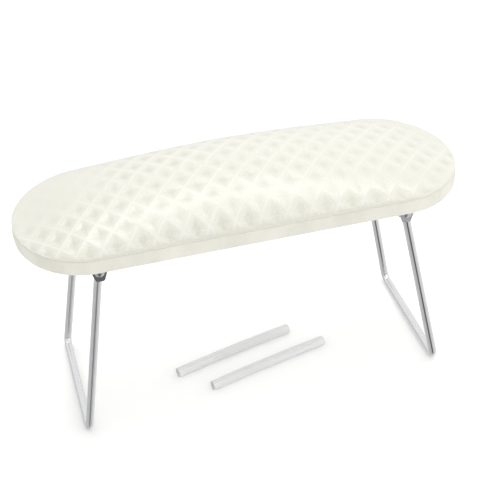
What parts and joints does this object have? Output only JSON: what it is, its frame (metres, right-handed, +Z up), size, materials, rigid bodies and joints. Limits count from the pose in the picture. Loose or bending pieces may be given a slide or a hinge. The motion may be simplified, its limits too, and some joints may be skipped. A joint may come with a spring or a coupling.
{
  "type": "manicure arm rest",
  "caption": "Padded stadium-shaped arm rest on folding U-shaped wire legs, with loose tubular foot sleeves, for holding a hand up during a manicure.",
  "frame": {"origin": "on the floor under the middle of the pad", "axes": "+X along the pad to its right end, +Z up, the front is -Y"},
  "size_m": [0.4, 0.144, 0.2185],
  "materials": {
    "pearl_leather": "pearl sheen, embossed in raised lozenges",
    "band_leather": "pearl sheen, fine grain",
    "foam": "open-cell foam",
    "plywood": "raw, sanded",
    "lining_cloth": "non-woven cloth",
    "bracket_chrome": "bright plated",
    "rod_chrome": "bright plated, drawn along the rod",
    "rivet_steel": "bright",
    "screw_steel": "zinc plated",
    "clear_silicone": "milky translucent, satin"
  },
  "bodies": {
    "pad": {"top_cover": "pearl_leather", "foam_pad": "foam", "base_board": "plywood", "side_band": "band_leather", "bottom_lining": "lining_cloth", "bracket_front_left": "bracket_chrome", "rivet_front_left": "rivet_steel", "screw_front_left_outer": "screw_steel", "screw_front_left_inner": "screw_steel", "bracket_front_right": "bracket_chrome", "rivet_front_right": "rivet_steel", "screw_front_right_outer": "screw_steel", "screw_front_right_inner": "screw_steel", "bracket_rear_left": "bracket_chrome", "rivet_rear_left": "rivet_steel", "screw_rear_left_outer": "screw_steel", "screw_rear_left_inner": "screw_steel", "bracket_rear_right": "bracket_chrome", "rivet_rear_right": "rivet_steel", "screw_rear_right_outer": "screw_steel", "screw_rear_right_inner": "screw_steel"},
    "leg_left": {"leg_left": "rod_chrome"},
    "leg_right": {"leg_right": "rod_chrome"},
    "sleeve_front": {"sleeve_front": "clear_silicone"},
    "sleeve_rear": {"sleeve_rear": "clear_silicone"}
  },
  "joints": [
    {"name": "left_leg_fold", "type": "hinge", "parent": "pad", "child": "leg_left", "pos_m": [-0.1365, 0, 0.1685], "axis": [0, -1, 0], "range_deg": [0, 99.9]},
    {"name": "right_leg_fold", "type": "hinge", "parent": "pad", "child": "leg_right", "pos_m": [0.1365, 0, 0.1685], "axis": [0, 1, 0], "range_deg": [0, 94.9]},
    {"name": "front_sleeve_lift", "type": "slide", "parent": "pad", "child": "sleeve_front", "axis": [0, 0, 1], "range_m": [0, 0.05]},
    {"name": "rear_sleeve_lift", "type": "slide", "parent": "pad", "child": "sleeve_rear", "axis": [0, 0, 1], "range_m": [0, 0.05]}
  ]
}
